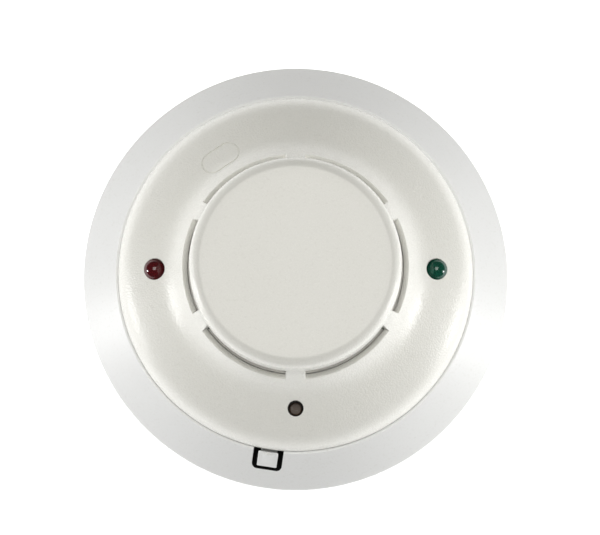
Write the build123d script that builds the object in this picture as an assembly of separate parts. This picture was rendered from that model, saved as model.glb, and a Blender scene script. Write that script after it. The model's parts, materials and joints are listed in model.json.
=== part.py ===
"""Plug-in spot heat detector: a flanged mounting base and a twist-lock head, in millimetres.

The back of the base lies in the plane Z = 0 and +Z points away from the ceiling or wall.
The red lens is at -X, the green lens at +X and the test hole at -Y.
"""

from build123d import *
import os
from math import cos, radians, sin, tan

os.makedirs("parts", exist_ok=True)

# Driving dimensions
BASE_RADIUS = 77.5
TOTAL_HEIGHT = 51.0
SEAM_HEIGHT = 14.0
HEAD_RADIUS = 63.5
CAP_RADIUS = 36.4
COLLAR_RADIUS = 39.4
COLLAR_HEIGHT = 37.0
WALL = 2.2
GAP = 0.3
EMBED = 0.2
THROUGH = 1.0

# Mounting base
RIM_HEIGHT = 3.0
FLOOR = 2.4
WELL_RADIUS = HEAD_RADIUS + GAP
WELL_WALL = 2.0
FLANGE_INNER_RADIUS = 64.9
FLANGE_HOLLOW_RADIUS = BASE_RADIUS - WALL
FLANGE_HOLLOW_HEIGHT = 2.0
FLANGE_SLOPE = (SEAM_HEIGHT - RIM_HEIGHT) / (BASE_RADIUS - FLANGE_INNER_RADIUS)
LIP_HEIGHT = 0.3
RIM_ROUND = 1.2
WIRE_PORT_RADIUS = 18.0
GUSSETS = 12
GUSSET_THICKNESS = 1.4
GUSSET_FOOT = 0.6

# Screw slots for standard boxes: two along X, two along Y
SLOT_WIDTH = 4.6
SLOT_LENGTH = 8.0
SLOT_SPACING_X = 86.1
SLOT_SPACING_Y = 69.9
SLOT_PAD = 2.2
SLOT_PAD_HEIGHT = 0.6

# Twist lock
LUG_ANGLES = (90, 210, 330)
LUG_HALF_ANGLE = 7.0
LEDGE_HALF_ANGLE = 11.0
LEDGE_RADIUS = 61.8
LEDGE_BOTTOM = 8.0
LEDGE_TOP = 9.8
LUG_RADIUS = 63.3
LUG_BOTTOM = 5.5
LUG_TOP = 7.6

# Terminals
TERMINAL_ANGLES = (45, 135, 225, 315)
TERMINAL_RADIUS = 36.0
TERMINAL_PAD_WIDTH = 9.0
STRIP_BOTTOM = 3.4
STRIP_THICKNESS = 0.8
STRIP_TOP = STRIP_BOTTOM + STRIP_THICKNESS
STRIP_INNER_RADIUS = 29.0
STRIP_ARC = (44.5, 51.5)
STRIP_ARC_ANGLES = (-6.0, 10.0)
CLAMP_SIZE = 8.0
CLAMP_THICKNESS = 1.0
CLAMP_GROOVE = 0.4
TERMINAL_SCREW_RADIUS = 1.7
TERMINAL_HEAD_RADIUS = 3.0
TERMINAL_HEAD_HEIGHT = 2.0
SCREW_END = 0.6
SCREW_HOLE_GAP = 0.1
THREAD_GAP = 0.02
JUMPER_RADIUS = 30.5
JUMPER_WIRE = 0.6

# Tamper lever: a finger rooted on the floor that ends in a tab flush with the flange
LEVER_ANGLE = 261.4
LEVER_ROOT = 46.0
LEVER_WIDTH = 6.0
LEVER_BOTTOM = 2.6
LEVER_THICKNESS = 1.6
LEVER_CLEARANCE = 0.2
LEVER_SIDE_GAP = 1.0
TAB_WIDTH = 7.1
TAB_INNER = 64.6
TAB_OUTER = 69.8
TAB_THICKNESS = 1.8
TAB_BEVEL = 0.35
WINDOW_WIDTH = 10.8
WINDOW_OUTER = 70.9
WINDOW_CORNER = 1.9
ARROW_HEIGHT = 0.7
ARROW_SIZE = (4.6, 3.8)
ARROW_SINK = 0.05
TOOTH_RADII = (59.4, 61.4)
TOOTH_TOP = 5.2

# Head chassis and board
CHASSIS_RADIUS = 61.3
CHASSIS_WALL = 1.8
CHASSIS_FLOOR = 9.0
CHASSIS_FLOOR_TOP = 11.0
CHASSIS_TOP = 16.0
CHASSIS_RIBS = 12
CHASSIS_RIB_DEPTH = 1.5
PILLAR_RADIUS = 3.0
BOARD_RADIUS = 54.0
BOARD_BOTTOM = 13.0
BOARD_TOP = 14.6
BOARD_SCREW_ANGLES = (90, 240, 330)
BOARD_SCREW_RADIUS = 49.0
BLADE_RADII = (46.0, 50.0)
BLADE_THICKNESS = 0.6
BLADE_CLEARANCE = 0.25
BLADE_SCREW_OFFSET = -9.0
BLADE_SCREW_RADIUS = 1.2
BLADE_SCREW_HEAD = (1.9, 1.2)
BOARD_SCREW_HEAD = (2.2, 1.4)
BOARD_SCREW_REACH = 1.5
LAMP_HEIGHT = 6.2
LABEL_SIZE = (34.0, 22.0)
LABEL_THICKNESS = 0.2

# Components on the board, as X and Y of their middles
CONTROLLER_PLACE = (-2.0, 22.0)
RECTIFIER_PLACE = (26.0, -16.0)
THYRISTOR_PLACE = (-26.0, -16.0)
CAPACITOR_PLACE = (20.0, 26.0)
SUPPRESSOR_PLACE = (-24.0, 24.0)
REFERENCE_PLACE = (14.0, 8.0)
RESISTOR_PLACE = (-9.0, -12.0)
RESISTOR_PITCH = (3.6, 3.0)

# Sensing chamber
GRILLE_BOTTOM = 30.0
GRILLE_FLOOR = 31.5
GRILLE_RADIUS = 40.0
FINS = 108
FIN_THICKNESS = 0.8
FIN_RADII = (32.6, 37.0)
FIN_SHOULDER = 35.0
FIN_TOP = 38.4
GRILLE_RIM = (36.1, 37.4)
GRILLE_RIM_TOP = 35.6
LEG_ANGLES = (30, 150, 270)
LEG_RADIUS = 28.0
LEG_THICKNESS = 5.2
GRILLE_SCREW_RADIUS = 0.98
GRILLE_SCREW_HEAD = (2.2, 1.3)
POST_RADIUS = 3.0
POST_BORE = 1.6
POST_TOP = 38.0
BEAD_HEIGHT = 44.5
BEAD_RADIUS = 1.5
LEAD_RADIUS = 0.25
LEAD_SPACING = 1.4

# Cover
NOTCH_CORNERS = ((40.1, 33.5), (35.6, 32.6), (35.6, 37.2))
NOTCH_TOP = COLLAR_HEIGHT + 0.4
CAP_CORNER = 4.0
CAP_BOTTOM = 39.0
CAP_THICKNESS = 2.0
CAP_DRAFT = 0.4
SKIRT_BOTTOM = 10.2
SKIRT_INNER_RADIUS = 61.7
RIB_ANGLES = range(30, 390, 60)
RIB_TOP_WIDTH = 5.6
RIB_FOOT_WIDTH = 7.6
INSERT_SIZE = (14.6, 8.2)
INSERT_GROOVE = 0.8
INSERT_DEPTH = 0.22
INSERT_ANGLE = 124.0
INSERT_RADIUS = 47.6
LENS_RADIUS = 3.5
LENS_AXIS = 49.8
LENS_FLANGE = 1.3
LENS_SEAT = 26.6
LENS_BOSS_BOTTOM = 22.8
LENS_BOSS_WALL = 1.9
LENS_RECESS = 0.35
LENS_BOTTOM = 21.4
DOME_HEIGHT = 2.9
HOLE_AXIS = 49.0
HOLE_RADIUS = 2.8
HOLE_BOSS_RADIUS = 4.6
HOLE_BOSS_BOTTOM = 23.0
SWITCH_SIZE = 6.0
SWITCH_TOP = 18.6
SWITCH_COLLAR_TOP = 20.0
PLUNGER_SHAFT = 1.6
PLUNGER_BOTTOM = 18.0
PLUNGER_HEAD = 21.3
PLUNGER_TOP = 22.8
PLUNGER_HEAD_RADIUS = 2.3
PLUNGER_ROOM = 1.2

# Shoulder, plateau and collar of the cover as radius, height and slope in degrees
SHOULDER_RADIUS = 58.0
COVER_CURVE = (
    (SHOULDER_RADIUS, 23.6, 30.4),
    (52.0, 26.7, 25.0),
    (47.0, 29.0, 27.0),
    (43.0, 32.1, 46.0),
    (COLLAR_RADIUS, COLLAR_HEIGHT, 56.0),
)


def save(shape, node):
    """Write one sub-part to its own file."""
    export_step(shape, f"parts/{node}.step")


def polar(radius, angle, height=0.0):
    """Place at a radius, an angle in degrees and a height."""
    return Pos(radius * cos(radians(angle)), radius * sin(radians(angle)), height)


def turned(profile, arc=360.0):
    """Turn a closed profile, drawn as radius and height, about the axis."""
    return revolve(Plane.XZ * profile, Axis.Z, revolution_arc=arc)


def outline(*points):
    """Closed straight-sided profile."""
    return make_face(Polyline(*points, close=True))


def ring(inner, outer, bottom, top):
    """Round ring or, with no inner radius, a disc."""
    disc = Pos(0, 0, bottom) * extrude(Circle(outer), top - bottom)
    if inner == 0:
        return disc
    return disc - Pos(0, 0, bottom) * extrude(Circle(inner), top - bottom)


def sector(inner, outer, start, end, bottom, top):
    """Part of a ring between two angles in degrees."""
    profile = outline((inner, bottom), (outer, bottom), (outer, top), (inner, top))
    return Rot(0, 0, start) * turned(profile, end - start)


def block(x0, x1, width, bottom, top):
    """Box along X, centred on Y."""
    size = Box(x1 - x0, width, top - bottom, align=(Align.MIN, Align.CENTER, Align.MIN))
    return Pos(x0, 0, bottom) * size


def rod(radius, bottom, top):
    """Upright cylinder on the axis."""
    return Pos(0, 0, bottom) * extrude(Circle(radius), top - bottom)


def rounded_slot(length, width, bottom, top):
    """Upright slot with round ends, along X."""
    return Pos(0, 0, bottom) * extrude(SlotOverall(length, width), top - bottom)


def flange_height(radius):
    """Height of the flange's sloped face at a radius."""
    return SEAM_HEIGHT - (radius - FLANGE_INNER_RADIUS) * FLANGE_SLOPE


# ---------------------------------------------------------------- mounting base


def base_shell():
    """Flange, ring wall and floor in one turned shell."""
    hollow_top = FLANGE_HOLLOW_HEIGHT
    hollow_top += (FLANGE_HOLLOW_RADIUS - WELL_RADIUS - WELL_WALL) * FLANGE_SLOPE
    profile = outline(
        (WIRE_PORT_RADIUS, 0),
        (WELL_RADIUS + WELL_WALL, 0),
        (WELL_RADIUS + WELL_WALL, hollow_top),
        (FLANGE_HOLLOW_RADIUS, FLANGE_HOLLOW_HEIGHT),
        (FLANGE_HOLLOW_RADIUS, 0),
        (BASE_RADIUS, 0),
        (BASE_RADIUS, RIM_HEIGHT),
        (FLANGE_INNER_RADIUS, SEAM_HEIGHT),
        (FLANGE_INNER_RADIUS - LIP_HEIGHT, SEAM_HEIGHT + LIP_HEIGHT),
        (WELL_RADIUS, SEAM_HEIGHT + LIP_HEIGHT),
        (WELL_RADIUS, FLOOR),
        (WIRE_PORT_RADIUS, FLOOR),
    )
    rim = profile.vertices().filter_by(
        lambda corner: abs(corner.X - BASE_RADIUS) < 0.01 and corner.Y > 1.0
    )
    return turned(fillet(rim, RIM_ROUND))


def gusset(angle):
    """Stiffening rib in the hollow under the flange."""
    inner = WELL_RADIUS + WELL_WALL - EMBED
    outer = FLANGE_HOLLOW_RADIUS + EMBED
    inner_top = FLANGE_HOLLOW_HEIGHT + (FLANGE_HOLLOW_RADIUS - inner) * FLANGE_SLOPE + EMBED
    outer_top = FLANGE_HOLLOW_HEIGHT + EMBED / 2
    face = Plane.XZ * outline(
        (inner, GUSSET_FOOT), (outer, GUSSET_FOOT), (outer, outer_top), (inner, inner_top)
    )
    return Rot(0, 0, angle) * extrude(face, GUSSET_THICKNESS / 2, both=True)


def screw_slots(bottom, top, margin=0.0):
    """The four mounting slots, or the pads around them when a margin is given."""
    slot = rounded_slot(SLOT_LENGTH + 2 * margin, SLOT_WIDTH + 2 * margin, bottom, top)
    upright = Rot(0, 0, 90) * slot
    places = [Pos(side * SLOT_SPACING_X / 2, 0, 0) * slot for side in (-1, 1)]
    places += [Pos(0, side * SLOT_SPACING_Y / 2, 0) * upright for side in (-1, 1)]
    return places


def terminal_boss(angle):
    """Raised pad under a contact strip."""
    bottom = FLOOR - EMBED
    pad_end = STRIP_ARC[1] - 1.5
    pad = block(STRIP_INNER_RADIUS, pad_end, TERMINAL_PAD_WIDTH, bottom, STRIP_BOTTOM)
    arc = sector(*STRIP_ARC, *STRIP_ARC_ANGLES, bottom, STRIP_BOTTOM)
    return Rot(0, 0, angle) * (pad + arc)


def lock_ledge(angle):
    """Ledge that holds a lug, with a stop at its closed end."""
    root = WELL_RADIUS + 2 * EMBED
    start = angle - LEDGE_HALF_ANGLE
    end = angle + LEDGE_HALF_ANGLE
    ledge = sector(LEDGE_RADIUS, root, start, end, LEDGE_BOTTOM, LEDGE_TOP)
    stop_end = angle - LUG_HALF_ANGLE - GAP
    stop = sector(LEDGE_RADIUS, root, start, stop_end, FLOOR - EMBED, LEDGE_TOP)
    return ledge + stop


def lever_window():
    """Opening in the flange, ring wall and floor that the tamper lever moves in."""
    flange = Pos((WINDOW_OUTER + LEDGE_RADIUS) / 2, 0, 0)
    flange *= extrude(
        RectangleRounded(WINDOW_OUTER - LEDGE_RADIUS, WINDOW_WIDTH, WINDOW_CORNER),
        SEAM_HEIGHT + 2 * LIP_HEIGHT,
    )
    width = LEVER_WIDTH + 2 * LEVER_SIDE_GAP
    outer = LEDGE_RADIUS + 2.0
    floor = block(LEVER_ROOT + 1.0, outer, width, -THROUGH, FLOOR + THROUGH)
    return Rot(0, 0, LEVER_ANGLE) * (flange + floor)


def lever_root():
    """Block that the tamper lever springs from."""
    top = LEVER_BOTTOM + LEVER_THICKNESS
    end = LEVER_ROOT - LEVER_CLEARANCE
    root = block(LEVER_ROOT - 3.0, end, LEVER_WIDTH, FLOOR - EMBED, top)
    return Rot(0, 0, LEVER_ANGLE) * root


def mounting_base():
    """Flanged base with its terminals' pads, lock ledges and openings."""
    base = base_shell()
    base += [gusset(index * 360 / GUSSETS) for index in range(GUSSETS)]
    base += [terminal_boss(angle) for angle in TERMINAL_ANGLES]
    base += screw_slots(FLOOR - EMBED, FLOOR + SLOT_PAD_HEIGHT, SLOT_PAD)
    base += [lock_ledge(angle) for angle in LUG_ANGLES]
    base -= lever_window()
    base += lever_root()
    base -= screw_slots(-THROUGH, STRIP_BOTTOM + THROUGH)
    screw_hole = rod(TERMINAL_SCREW_RADIUS + THREAD_GAP, SCREW_END, STRIP_BOTTOM + THROUGH)
    base -= [polar(TERMINAL_RADIUS, angle) * screw_hole for angle in TERMINAL_ANGLES]
    return base


def contact_strip():
    """Brass strip: a screw pad and an arc that the head's blade wipes on."""
    pad = block(STRIP_INNER_RADIUS, STRIP_ARC[0] + 1.0, TERMINAL_PAD_WIDTH, STRIP_BOTTOM, STRIP_TOP)
    arc = sector(*STRIP_ARC, *STRIP_ARC_ANGLES, STRIP_BOTTOM, STRIP_TOP)
    hole = rod(TERMINAL_SCREW_RADIUS + SCREW_HOLE_GAP, STRIP_BOTTOM - THROUGH, STRIP_TOP + THROUGH)
    return pad + arc - Pos(TERMINAL_RADIUS, 0, 0) * hole


def clamp_plate():
    """Square wire clamp with two grooves that grip the wires."""
    plate_top = STRIP_TOP + CLAMP_THICKNESS
    plate = block(-CLAMP_SIZE / 2, CLAMP_SIZE / 2, CLAMP_SIZE, STRIP_TOP, plate_top)
    groove = Pos(0, 0, STRIP_TOP) * Rot(0, 90, 0) * Cylinder(CLAMP_GROOVE, CLAMP_SIZE + THROUGH)
    grooves = [Pos(0, side * CLAMP_SIZE / 3, 0) * groove for side in (-1, 1)]
    hole = rod(TERMINAL_SCREW_RADIUS + SCREW_HOLE_GAP, STRIP_TOP - THROUGH, plate_top + THROUGH)
    return Pos(TERMINAL_RADIUS, 0, 0) * (plate - grooves - hole)


def cross_screw(head_radius, head_height, shank_radius, length):
    """Pan-head screw pointing down, with its head's underside at height 0."""
    head = extrude(Circle(head_radius), head_height)
    head = fillet(head.edges().sort_by(Axis.Z)[-1], head_height * 0.45)
    arm = Box(head_radius * 1.3, head_radius * 0.28, head_height)
    cross = Pos(0, 0, head_height) * (arm + Rot(0, 0, 90) * arm)
    return head - cross + Pos(0, 0, -length) * extrude(Circle(shank_radius), length + EMBED)


def terminal_screws():
    """One screw per terminal."""
    length = STRIP_TOP + CLAMP_THICKNESS - SCREW_END - SCREW_HOLE_GAP
    screw = cross_screw(TERMINAL_HEAD_RADIUS, TERMINAL_HEAD_HEIGHT, TERMINAL_SCREW_RADIUS, length)
    height = STRIP_TOP + CLAMP_THICKNESS
    places = [polar(TERMINAL_RADIUS, angle, height) for angle in TERMINAL_ANGLES]
    return Compound([place * screw for place in places])


def jumper_spring():
    """Bridging wire across two terminals' inner ends."""
    section = Pos(JUMPER_RADIUS, STRIP_TOP + JUMPER_WIRE) * Circle(JUMPER_WIRE)
    return Rot(0, 0, TERMINAL_ANGLES[1]) * turned(section, 90.0)


def arrow(width, length):
    """Low four-sided wedge whose peak stands near its inner end, towards -X."""
    half_length, half_width = length / 2, width / 2
    corners = [
        Vector(side * half_length, end * half_width, 0)
        for side, end in ((-1, -1), (1, -1), (1, 1), (-1, 1))
    ]
    peak = Vector(-half_length + 0.5, 0, ARROW_HEIGHT)
    rims = zip(corners, corners[1:] + corners[:1])
    sides = [Face(Wire.make_polygon((first, second, peak), close=True)) for first, second in rims]
    foot = Face(Wire.make_polygon(corners[::-1], close=True))
    return Solid(Shell([foot, *sides]))


def tamper_lever():
    """Springy finger with its tooth, riser and arrow tab."""
    top = LEVER_BOTTOM + LEVER_THICKNESS
    riser_outer = TAB_INNER + 1.4
    finger = block(LEVER_ROOT, riser_outer, LEVER_WIDTH, LEVER_BOTTOM, top)
    tooth = block(*TOOTH_RADII, LEVER_WIDTH - 1.0, LEVER_BOTTOM, TOOTH_TOP)
    riser_top = flange_height(riser_outer) - TAB_THICKNESS / 2
    riser = block(TAB_INNER, riser_outer, LEVER_WIDTH, LEVER_BOTTOM, riser_top)
    drop = TAB_THICKNESS * (1 + FLANGE_SLOPE**2) ** 0.5
    inner, outer = flange_height(TAB_INNER), flange_height(TAB_OUTER)
    side = Plane.XZ * outline(
        (TAB_INNER, inner), (TAB_OUTER, outer), (TAB_OUTER, outer - drop), (TAB_INNER, inner - drop)
    )
    tab = extrude(side, TAB_WIDTH / 2, both=True)
    tab = chamfer(tab.faces().sort_by(Axis.Z)[-1].edges(), TAB_BEVEL)
    middle = (TAB_INNER + TAB_OUTER) / 2
    slope = Plane(
        origin=(middle, 0, flange_height(middle) - ARROW_SINK),
        x_dir=(1, 0, -FLANGE_SLOPE),
        z_dir=(FLANGE_SLOPE, 0, 1),
    )
    mark = slope * arrow(*ARROW_SIZE)
    return Rot(0, 0, LEVER_ANGLE) * (finger + tooth + riser + tab + mark)


# ---------------------------------------------------------------- head


def head_chassis():
    """Tray with bayonet lugs, board pillars and underside ribs."""
    wall_inner = CHASSIS_RADIUS - CHASSIS_WALL
    tray = ring(0, CHASSIS_RADIUS, CHASSIS_FLOOR, CHASSIS_FLOOR_TOP)
    tray += ring(wall_inner, CHASSIS_RADIUS, LUG_BOTTOM, CHASSIS_TOP)
    lug_root = CHASSIS_RADIUS - 2 * EMBED
    lug = sector(lug_root, LUG_RADIUS, -LUG_HALF_ANGLE, LUG_HALF_ANGLE, LUG_BOTTOM, LUG_TOP)
    tray += [Rot(0, 0, angle) * lug for angle in LUG_ANGLES]
    pillar = rod(PILLAR_RADIUS, CHASSIS_FLOOR_TOP - EMBED, BOARD_BOTTOM)
    tray += [polar(BOARD_SCREW_RADIUS, angle) * pillar for angle in BOARD_SCREW_ANGLES]
    tray += [place * pillar for place in blade_screw_places()]
    rib_bottom = CHASSIS_FLOOR - CHASSIS_RIB_DEPTH
    rib = block(52.5, wall_inner + EMBED, 1.2, rib_bottom, CHASSIS_FLOOR + EMBED)
    tray += [Rot(0, 0, (index + 0.5) * 360 / CHASSIS_RIBS) * rib for index in range(CHASSIS_RIBS)]
    hole = rod(BLADE_SCREW_RADIUS + THREAD_GAP, CHASSIS_FLOOR - THROUGH, BOARD_BOTTOM + THROUGH)
    tray -= [place * hole for place in blade_screw_places()]
    tray -= [polar(BOARD_SCREW_RADIUS, angle) * hole for angle in BOARD_SCREW_ANGLES]
    return tray


def blade_screw_places():
    """Where the blades' screws stand."""
    middle = sum(BLADE_RADII) / 2
    return [Rot(0, 0, angle) * Pos(middle, BLADE_SCREW_OFFSET, 0) for angle in TERMINAL_ANGLES]


def contact_blade():
    """Bent spring blade: a foot under the chassis and a tip just above its strip."""
    tip_height = STRIP_TOP + BLADE_CLEARANCE + BLADE_THICKNESS / 2
    foot_height = CHASSIS_FLOOR - BLADE_THICKNESS / 2
    path = Polyline(
        (-12.0, foot_height),
        (-5.0, foot_height),
        (-1.5, tip_height),
        (1.0, tip_height),
        (3.0, tip_height + 1.1),
    )
    side = Plane.YZ * trace(path, BLADE_THICKNESS)
    width = BLADE_RADII[1] - BLADE_RADII[0]
    blade = Pos(BLADE_RADII[0], 0, 0) * extrude(side, width)
    hole = rod(BLADE_SCREW_RADIUS + SCREW_HOLE_GAP, CHASSIS_FLOOR - 2 * THROUGH, CHASSIS_FLOOR + THROUGH)
    return blade - Pos(sum(BLADE_RADII) / 2, BLADE_SCREW_OFFSET, 0) * hole


def blade_screws():
    """Screws that clamp the blades and reach the board's pads."""
    underside = CHASSIS_FLOOR - BLADE_THICKNESS - 0.05
    screw = cross_screw(*BLADE_SCREW_HEAD, BLADE_SCREW_RADIUS, BOARD_TOP - underside)
    upward = Pos(0, 0, underside) * Rot(180, 0, 0) * screw
    return Compound([place * upward for place in blade_screw_places()])


def circuit_board():
    """Round board with its screw holes."""
    board = ring(0, BOARD_RADIUS, BOARD_BOTTOM, BOARD_TOP)
    hole = rod(BLADE_SCREW_RADIUS + SCREW_HOLE_GAP, BOARD_BOTTOM - THROUGH, BOARD_TOP + THROUGH)
    board -= [place * hole for place in blade_screw_places()]
    board -= [polar(BOARD_SCREW_RADIUS, angle) * hole for angle in BOARD_SCREW_ANGLES]
    board -= [polar(LEG_RADIUS, angle) * hole for angle in LEG_ANGLES]
    return board


def board_screws():
    """Screws that hold the board down on its pillars."""
    length = BOARD_TOP - CHASSIS_FLOOR_TOP + BOARD_SCREW_REACH
    screw = cross_screw(*BOARD_SCREW_HEAD, BLADE_SCREW_RADIUS, length)
    places = [polar(BOARD_SCREW_RADIUS, angle, BOARD_TOP) for angle in BOARD_SCREW_ANGLES]
    return Compound([place * screw for place in places])


def leaded_chip(length, width, height, pairs, pitch):
    """Moulded chip with gull-wing leads along both long sides, standing on the board."""
    stand_off = 0.2
    body = Pos(0, 0, BOARD_TOP + stand_off + height / 2) * Box(length, width, height)
    body = chamfer(body.edges().group_by(Axis.Z)[-1], 0.3)
    foot = Pos(0, 0, BOARD_TOP + 0.1) * Box(0.42, width + 2.0, 0.2)
    leg = Pos(0, 0, BOARD_TOP + 0.5) * Box(0.42, width + 0.8, 1.0)
    for index in range(pairs):
        along = (index - (pairs - 1) / 2) * pitch
        body += Pos(along, 0, 0) * (foot + leg)
    return body


def filter_capacitor():
    """Upright electrolytic can on a square foot, with a scored top."""
    foot = Pos(0, 0, BOARD_TOP + 0.6) * Box(8.6, 8.6, 1.2)
    top = BOARD_TOP + 9.0
    can = rod(4.0, BOARD_TOP + 1.0, top)
    can = fillet(can.edges().sort_by(Axis.Z)[-1], 0.6)
    score = Pos(0, 0, top) * (Box(5.0, 0.4, 0.4) + Box(0.4, 5.0, 0.4))
    return Pos(*CAPACITOR_PLACE, 0) * (foot + can - score)


def surge_suppressor():
    """Upright disc on two wires."""
    disc = Pos(0, 0, BOARD_TOP + 6.2) * Rot(90, 0, 0) * Cylinder(4.4, 3.4)
    disc = fillet(disc.edges(), 1.2)
    wire = rod(0.35, BOARD_TOP, BOARD_TOP + 4.0)
    wires = [Pos(side * 2.5, 0, 0) * wire for side in (-1, 1)]
    return Pos(*SUPPRESSOR_PLACE, 0) * (disc + wires)


def chip_resistors():
    """Small surface-mount resistors in two rows."""
    chip = Pos(0, 0, BOARD_TOP + 0.3) * Box(2.0, 1.25, 0.6)
    first_x, first_y = RESISTOR_PLACE
    pitch_x, pitch_y = RESISTOR_PITCH
    places = []
    for column in range(6):
        places += [Pos(first_x + pitch_x * column, first_y - pitch_y * row, 0) for row in range(2)]
    return Compound([place * chip for place in places])


def lamp():
    """Round lamp with its flange and dome, standing on the board."""
    side = [(0, 0), (2.9, 0), (2.9, 1.0), (2.5, 1.0), (2.5, 4.4)]
    top = (0, LAMP_HEIGHT)
    section = make_face([Polyline(top, *side), TangentArc(top, side[-1], tangent=(1, 0))])
    return Pos(0, 0, BOARD_TOP) * turned(section)


def thermistor_bead():
    """Glass bead that senses the air."""
    return Pos(0, 0, BEAD_HEIGHT) * scale(Sphere(BEAD_RADIUS), (0.8, 0.8, 1.0))


def thermistor_leads():
    """Two wires from the board up to the bead."""
    wire = rod(LEAD_RADIUS, BOARD_TOP, BEAD_HEIGHT - BEAD_RADIUS * 0.6)
    pair = [Pos(side * LEAD_SPACING / 2, 0, 0) * wire for side in (-1, 1)]
    return Compound([each - thermistor_bead() for each in pair])


def thermistor_post():
    """Tube that holds the leads up in the chamber, with three webs at its foot."""
    post = ring(POST_BORE, POST_RADIUS, BOARD_TOP, POST_TOP)
    root = POST_RADIUS - 2 * EMBED
    web = Plane.XZ * outline((root, BOARD_TOP), (7.0, BOARD_TOP), (root, BOARD_TOP + 8.0))
    webs = [Rot(0, 0, 60 + 120 * index) * extrude(web, 0.6, both=True) for index in range(3)]
    return post + webs


def end_notch(mirror_x, mirror_y):
    """Wedge-shaped clearance at the closed end of a vent, beside a rib."""
    points = []
    for radius, angle in NOTCH_CORNERS:
        x = mirror_x * radius * cos(radians(angle))
        y = mirror_y * radius * sin(radians(angle))
        points.append((x, y))
    height = NOTCH_TOP - GRILLE_BOTTOM + THROUGH
    return Pos(0, 0, GRILLE_BOTTOM - THROUGH) * extrude(outline(*points), height)


def end_notches():
    """The four clearances beside the ribs nearest the lenses."""
    return [end_notch(mirror_x, mirror_y) for mirror_x in (-1, 1) for mirror_y in (-1, 1)]


def air_grille():
    """Chamber floor with its rim, fins and legs."""
    floor = ring(POST_RADIUS + 0.1, GRILLE_RADIUS, GRILLE_BOTTOM, GRILLE_FLOOR)
    floor += ring(*GRILLE_RIM, GRILLE_FLOOR - EMBED, GRILLE_RIM_TOP)
    inner, outer = FIN_RADII
    profile = outline(
        (inner, GRILLE_FLOOR - EMBED),
        (outer, GRILLE_FLOOR - EMBED),
        (outer, FIN_SHOULDER),
        (inner + 1.3, FIN_TOP),
        (inner, FIN_TOP),
    )
    fin = extrude(Plane.XZ * profile, FIN_THICKNESS / 2, both=True)
    floor += [Rot(0, 0, index * 360 / FINS) * fin for index in range(FINS)]
    leg = rod(LEG_THICKNESS / 2, BOARD_TOP, GRILLE_BOTTOM + EMBED)
    leg -= rod(GRILLE_SCREW_RADIUS + THREAD_GAP, BOARD_TOP, BOARD_TOP + 9.0)
    floor += [polar(LEG_RADIUS, angle) * leg for angle in LEG_ANGLES]
    return floor - end_notches()


def grille_screws():
    """Screws up through the board into the grille's legs."""
    screw = cross_screw(*GRILLE_SCREW_HEAD, GRILLE_SCREW_RADIUS, 8.0)
    upward = Rot(180, 0, 0) * screw
    return Compound([polar(LEG_RADIUS, angle, BOARD_BOTTOM) * upward for angle in LEG_ANGLES])


def test_switch_body():
    """Push switch under the test hole."""
    body = block(-SWITCH_SIZE / 2, SWITCH_SIZE / 2, SWITCH_SIZE, BOARD_TOP, SWITCH_TOP)
    collar = rod(2.2, SWITCH_TOP - EMBED, SWITCH_COLLAR_TOP)
    bore = rod(PLUNGER_SHAFT + 0.05, PLUNGER_BOTTOM - PLUNGER_ROOM, SWITCH_COLLAR_TOP + THROUGH)
    return Pos(0, -HOLE_AXIS, 0) * (body + collar - bore)


def test_plunger():
    """Plunger with a round head at the bottom of the test hole."""
    head = rod(PLUNGER_HEAD_RADIUS, PLUNGER_HEAD, PLUNGER_TOP)
    head = fillet(head.edges().sort_by(Axis.Z)[-1], 0.6)
    shaft = rod(PLUNGER_SHAFT, PLUNGER_BOTTOM, PLUNGER_HEAD + EMBED)
    return Pos(0, -HOLE_AXIS, 0) * (shaft + head)


def inset(point, depth=WALL):
    """Point at a depth under a radius, height and slope on the cover's outside."""
    radius, height, slope = point
    return (radius - depth * sin(radians(slope)), height - depth * cos(radians(slope)))


def heading(slope):
    """Direction along the cover's curve at a slope, towards the axis."""
    return (-cos(radians(slope)), sin(radians(slope)))


def outer_curve(depth=0.0):
    """The cover's curve from shoulder to collar, at a depth under its outside."""
    points = [inset(point, depth) for point in COVER_CURVE]
    return Spline(*points, tangents=[heading(point[2]) for point in COVER_CURVE])


def shoulder(start_radius, depth):
    """Upright round shoulder between the seam and the curve."""
    return TangentArc((start_radius, SEAM_HEIGHT), inset(COVER_CURVE[0], depth), tangent=(0, 1))


def cover_shell():
    """Skirt, shoulder, plateau and collar."""
    profile = make_face(
        [
            Line((SKIRT_INNER_RADIUS, SKIRT_BOTTOM), (HEAD_RADIUS, SKIRT_BOTTOM)),
            Line((HEAD_RADIUS, SKIRT_BOTTOM), (HEAD_RADIUS, SEAM_HEIGHT)),
            shoulder(HEAD_RADIUS, 0.0),
            outer_curve(),
            Line(inset(COVER_CURVE[-1], 0.0), inset(COVER_CURVE[-1])),
            outer_curve(WALL),
            shoulder(SKIRT_INNER_RADIUS, WALL),
            Line((SKIRT_INNER_RADIUS, SEAM_HEIGHT), (SKIRT_INNER_RADIUS, SKIRT_BOTTOM)),
        ]
    )
    return turned(profile)


def under_cover():
    """Everything inside the cover's outer face, used to trim bosses."""
    profile = make_face(
        [
            Line((0, 0), (HEAD_RADIUS, 0)),
            Line((HEAD_RADIUS, 0), (HEAD_RADIUS, SEAM_HEIGHT)),
            shoulder(HEAD_RADIUS, 0.0),
            outer_curve(),
            Line(inset(COVER_CURVE[-1], 0.0), (0, COLLAR_HEIGHT)),
            Line((0, COLLAR_HEIGHT), (0, 0)),
        ]
    )
    return turned(profile)


def upper_outer_corner(profile):
    """The corner of a profile that is furthest from the axis and highest."""
    return profile.vertices().sort_by(lambda corner: corner.X + corner.Y)[-1:]


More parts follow.
